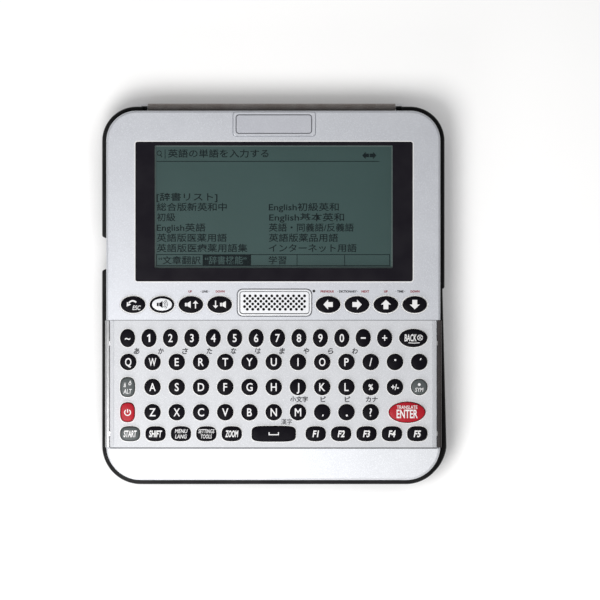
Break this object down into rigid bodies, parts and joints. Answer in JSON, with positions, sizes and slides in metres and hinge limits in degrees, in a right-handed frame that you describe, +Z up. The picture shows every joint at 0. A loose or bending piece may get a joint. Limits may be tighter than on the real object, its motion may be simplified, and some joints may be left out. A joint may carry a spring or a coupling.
{
  "type": "electronic translator",
  "caption": "Hand-held electronic translator with a full keyboard, a wide backlit display and a lid on a two-axis hinge that folds back under the body.",
  "frame": {"origin": "on the table under the middle of the object, which lies on the pads of its folded-back lid", "axes": "+X to the right and +Y towards the hinge as the user reads the display, +Z up out of the keys"},
  "size_m": [0.1409, 0.1557, 0.0229],
  "materials": {
    "silver": "satin silver paint",
    "silver_rear": "satin silver paint",
    "rail_silver": "glossy silver",
    "bumper_black": "satin black",
    "window_clear": "polished",
    "display_glass": "grey-green display",
    "light_guide": "clear white",
    "holder_white": "plain",
    "ribbon_amber": "amber film",
    "badge_silver": "satin silver",
    "grille_silver": "satin silver paint",
    "speaker_black": "plain",
    "board_green": "solder mask",
    "sheet_grey": "silicone",
    "socket_black": "plain",
    "socket_steel": "plated",
    "battery_foil": "foil pouch",
    "screw_steel": "plated",
    "pin_steel": "polished",
    "hinge_dark": "satin dark grey",
    "pad_black": "matt",
    "key_black": "satin black",
    "key_white": "satin white",
    "key_grey": "satin grey",
    "key_red": "satin red"
  },
  "bodies": {
    "case": {"rear_cover": "silver_rear", "front_cover": "silver", "keyboard_panel": "silver", "left_side_rail": "rail_silver", "right_side_rail": "rail_silver", "bumper_top_left": "bumper_black", "bumper_top_right": "bumper_black", "bumper_lower": "bumper_black", "screen_window": "window_clear", "lcd_panel": "display_glass", "backlight": "light_guide", "lcd_holder": "holder_white", "display_cable": "ribbon_amber", "badge_plate": "badge_silver", "speaker_grille": "grille_silver", "speaker": "speaker_black", "microphone": "speaker_black", "keypad_board": "board_green", "keypad_sheet": "sheet_grey", "main_board": "board_green", "earphone_jack": "socket_black", "usb_socket": "socket_steel", "card_socket": "socket_black", "battery_pack": "battery_foil", "casing_screws": "screw_steel", "board_screws": "screw_steel", "body_hinge_pin": "pin_steel"},
    "link": {"hinge_link": "hinge_dark"},
    "lid": {"lid": "silver_rear", "lid_hinge_pin": "pin_steel", "lid_pads": "pad_black"},
    "battery_cover": {"battery_cover": "silver_rear"},
    "escape_key": {"escape_key": "key_black"},
    "speak_key": {"speak_key": "key_white"},
    "volume_up_key": {"volume_up_key": "key_black"},
    "volume_down_key": {"volume_down_key": "key_black"},
    "left_key": {"left_key": "key_black"},
    "right_key": {"right_key": "key_black"},
    "up_key": {"up_key": "key_black"},
    "down_key": {"down_key": "key_black"},
    "number_keys": {"number_keys": "key_black"},
    "backspace_key": {"backspace_key": "key_black"},
    "upper_letter_keys": {"upper_letter_keys": "key_black"},
    "alt_key": {"alt_key": "key_grey"},
    "middle_letter_keys": {"middle_letter_keys": "key_black"},
    "symbol_key": {"symbol_key": "key_grey"},
    "power_key": {"power_key": "key_red"},
    "lower_letter_keys": {"lower_letter_keys": "key_black"},
    "enter_key": {"enter_key": "key_red"},
    "start_key": {"start_key": "key_grey"},
    "shift_key": {"shift_key": "key_black"},
    "menu_key": {"menu_key": "key_black"},
    "tools_key": {"tools_key": "key_black"},
    "zoom_key": {"zoom_key": "key_black"},
    "space_key": {"space_key": "key_black"},
    "f1_key": {"f1_key": "key_black"},
    "f2_key": {"f2_key": "key_black"},
    "f3_key": {"f3_key": "key_black"},
    "f4_key": {"f4_key": "key_black"},
    "f5_key": {"f5_key": "key_black"}
  },
  "joints": [
    {"name": "case_to_link", "type": "hinge", "parent": "case", "child": "link", "pos_m": [0, 0.0771, 0.01275], "axis": [1, 0, 0], "range_deg": [0, 180]},
    {"name": "link_to_lid", "type": "hinge", "parent": "link", "child": "lid", "pos_m": [0, 0.0771, 0.0018], "axis": [1, 0, 0], "range_deg": [0, 180]},
    {"name": "battery_cover_slide", "type": "slide", "parent": "case", "child": "battery_cover", "axis": [0, -1, 0], "range_m": [0, 0.008]},
    {"name": "escape_key_press", "type": "slide", "parent": "case", "child": "escape_key", "axis": [0, 0, -1], "range_m": [0, 0.0008], "stiffness_N_per_m": 500, "springref_m": -0.0003},
    {"name": "speak_key_press", "type": "slide", "parent": "case", "child": "speak_key", "axis": [0, 0, -1], "range_m": [0, 0.0008], "stiffness_N_per_m": 500, "springref_m": -0.0003},
    {"name": "volume_up_key_press", "type": "slide", "parent": "case", "child": "volume_up_key", "axis": [0, 0, -1], "range_m": [0, 0.0008], "stiffness_N_per_m": 500, "springref_m": -0.0003},
    {"name": "volume_down_key_press", "type": "slide", "parent": "case", "child": "volume_down_key", "axis": [0, 0, -1], "range_m": [0, 0.0008], "stiffness_N_per_m": 500, "springref_m": -0.0003},
    {"name": "left_key_press", "type": "slide", "parent": "case", "child": "left_key", "axis": [0, 0, -1], "range_m": [0, 0.0008], "stiffness_N_per_m": 500, "springref_m": -0.0003},
    {"name": "right_key_press", "type": "slide", "parent": "case", "child": "right_key", "axis": [0, 0, -1], "range_m": [0, 0.0008], "stiffness_N_per_m": 500, "springref_m": -0.0003},
    {"name": "up_key_press", "type": "slide", "parent": "case", "child": "up_key", "axis": [0, 0, -1], "range_m": [0, 0.0008], "stiffness_N_per_m": 500, "springref_m": -0.0003},
    {"name": "down_key_press", "type": "slide", "parent": "case", "child": "down_key", "axis": [0, 0, -1], "range_m": [0, 0.0008], "stiffness_N_per_m": 500, "springref_m": -0.0003},
    {"name": "number_keys_press", "type": "slide", "parent": "case", "child": "number_keys", "axis": [0, 0, -1], "range_m": [0, 0.0008], "stiffness_N_per_m": 500, "springref_m": -0.0003},
    {"name": "backspace_key_press", "type": "slide", "parent": "case", "child": "backspace_key", "axis": [0, 0, -1], "range_m": [0, 0.0008], "stiffness_N_per_m": 500, "springref_m": -0.0003},
    {"name": "upper_letter_keys_press", "type": "slide", "parent": "case", "child": "upper_letter_keys", "axis": [0, 0, -1], "range_m": [0, 0.0008], "stiffness_N_per_m": 500, "springref_m": -0.0003},
    {"name": "alt_key_press", "type": "slide", "parent": "case", "child": "alt_key", "axis": [0, 0, -1], "range_m": [0, 0.0008], "stiffness_N_per_m": 500, "springref_m": -0.0003},
    {"name": "middle_letter_keys_press", "type": "slide", "parent": "case", "child": "middle_letter_keys", "axis": [0, 0, -1], "range_m": [0, 0.0008], "stiffness_N_per_m": 500, "springref_m": -0.0003},
    {"name": "symbol_key_press", "type": "slide", "parent": "case", "child": "symbol_key", "axis": [0, 0, -1], "range_m": [0, 0.0008], "stiffness_N_per_m": 500, "springref_m": -0.0003},
    {"name": "power_key_press", "type": "slide", "parent": "case", "child": "power_key", "axis": [0, 0, -1], "range_m": [0, 0.0008], "stiffness_N_per_m": 500, "springref_m": -0.0003},
    {"name": "lower_letter_keys_press", "type": "slide", "parent": "case", "child": "lower_letter_keys", "axis": [0, 0, -1], "range_m": [0, 0.0008], "stiffness_N_per_m": 500, "springref_m": -0.0003},
    {"name": "enter_key_press", "type": "slide", "parent": "case", "child": "enter_key", "axis": [0, 0, -1], "range_m": [0, 0.0008], "stiffness_N_per_m": 500, "springref_m": -0.0003},
    {"name": "start_key_press", "type": "slide", "parent": "case", "child": "start_key", "axis": [0, 0, -1], "range_m": [0, 0.0008], "stiffness_N_per_m": 500, "springref_m": -0.0003},
    {"name": "shift_key_press", "type": "slide", "parent": "case", "child": "shift_key", "axis": [0, 0, -1], "range_m": [0, 0.0008], "stiffness_N_per_m": 500, "springref_m": -0.0003},
    {"name": "menu_key_press", "type": "slide", "parent": "case", "child": "menu_key", "axis": [0, 0, -1], "range_m": [0, 0.0008], "stiffness_N_per_m": 500, "springref_m": -0.0003},
    {"name": "tools_key_press", "type": "slide", "parent": "case", "child": "tools_key", "axis": [0, 0, -1], "range_m": [0, 0.0008], "stiffness_N_per_m": 500, "springref_m": -0.0003},
    {"name": "zoom_key_press", "type": "slide", "parent": "case", "child": "zoom_key", "axis": [0, 0, -1], "range_m": [0, 0.0008], "stiffness_N_per_m": 500, "springref_m": -0.0003},
    {"name": "space_key_press", "type": "slide", "parent": "case", "child": "space_key", "axis": [0, 0, -1], "range_m": [0, 0.0008], "stiffness_N_per_m": 500, "springref_m": -0.0003},
    {"name": "f1_key_press", "type": "slide", "parent": "case", "child": "f1_key", "axis": [0, 0, -1], "range_m": [0, 0.0008], "stiffness_N_per_m": 500, "springref_m": -0.0003},
    {"name": "f2_key_press", "type": "slide", "parent": "case", "child": "f2_key", "axis": [0, 0, -1], "range_m": [0, 0.0008], "stiffness_N_per_m": 500, "springref_m": -0.0003},
    {"name": "f3_key_press", "type": "slide", "parent": "case", "child": "f3_key", "axis": [0, 0, -1], "range_m": [0, 0.0008], "stiffness_N_per_m": 500, "springref_m": -0.0003},
    {"name": "f4_key_press", "type": "slide", "parent": "case", "child": "f4_key", "axis": [0, 0, -1], "range_m": [0, 0.0008], "stiffness_N_per_m": 500, "springref_m": -0.0003},
    {"name": "f5_key_press", "type": "slide", "parent": "case", "child": "f5_key", "axis": [0, 0, -1], "range_m": [0, 0.0008], "stiffness_N_per_m": 500, "springref_m": -0.0003}
  ]
}
